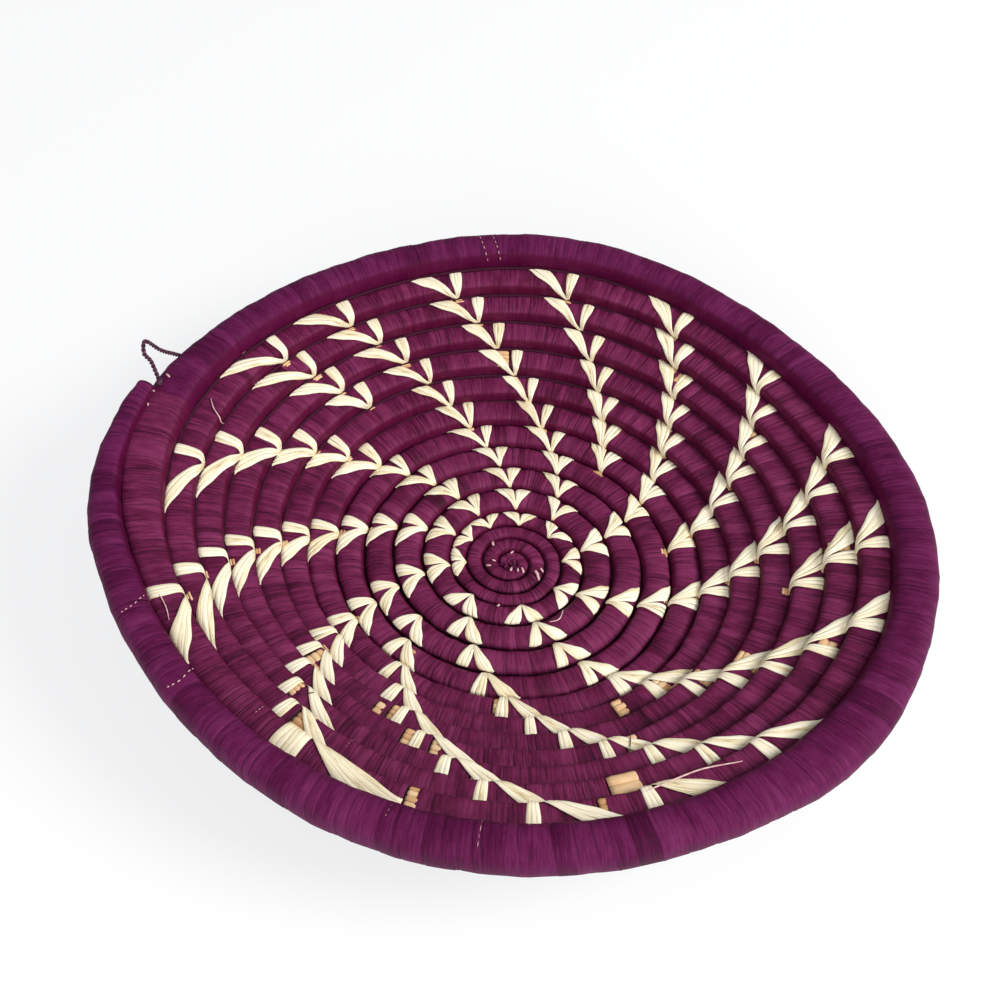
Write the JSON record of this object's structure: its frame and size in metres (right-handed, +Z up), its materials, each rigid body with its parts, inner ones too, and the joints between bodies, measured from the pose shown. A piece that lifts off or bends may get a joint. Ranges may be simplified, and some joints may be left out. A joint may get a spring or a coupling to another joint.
{
  "type": "basket bowl",
  "caption": "Shallow round coiled basket bowl: purple wrapped coil with cream V stitches swirling from the base to a plain thick rim, and a small cord loop to hang it.",
  "frame": {"origin": "centre of the bowl's outline, on the surface it stands on", "axes": "+Z up, +X along the longer way across the bowl, -Y towards the camera of the picture"},
  "size_m": [0.2924, 0.2614, 0.0694],
  "materials": {
    "purple_raffia": "satin raffia wrapping",
    "rim_raffia": "satin raffia wrapping, smoother on the rim",
    "cream_raffia": "undyed raffia strips",
    "stalks": "dry plant stalks",
    "dark_cord": "twisted dyed raffia cord"
  },
  "bodies": {
    "basket": {"stalk_core": "stalks", "wrap_round_01": "purple_raffia", "wrap_round_02": "purple_raffia", "wrap_round_03": "purple_raffia", "wrap_round_04": "purple_raffia", "wrap_round_05": "purple_raffia", "wrap_round_06": "purple_raffia", "wrap_round_07": "purple_raffia", "wrap_round_08": "purple_raffia", "wrap_round_09": "purple_raffia", "wrap_round_10": "purple_raffia", "wrap_round_11": "purple_raffia", "wrap_round_12": "purple_raffia", "wrap_round_13": "purple_raffia", "wrap_round_14": "purple_raffia", "rim_wrap": "rim_raffia", "stitch_arm_01": "cream_raffia", "stitch_arm_02": "cream_raffia", "stitch_arm_03": "cream_raffia", "stitch_arm_04": "cream_raffia", "stitch_arm_05": "cream_raffia", "stitch_arm_06": "cream_raffia", "stitch_arm_07": "cream_raffia", "stitch_arm_08": "cream_raffia", "stitch_arm_09": "cream_raffia", "stitch_arm_10": "cream_raffia", "stitch_arm_11": "cream_raffia", "stitch_arm_12": "cream_raffia", "stitch_arm_13": "cream_raffia", "stitch_arm_14": "cream_raffia", "stitch_arm_15": "cream_raffia", "loop_knot_left": "dark_cord", "loop_knot_right": "dark_cord"},
    "loop": {"hanging_loop": "dark_cord"}
  },
  "joints": [
    {"name": "loop_flop", "type": "hinge", "parent": "basket", "child": "loop", "pos_m": [-0.12451, 0.06139, 0.05035], "axis": [0.3057, 0.8861, -0.3485], "range_deg": [-130, 55]}
  ]
}
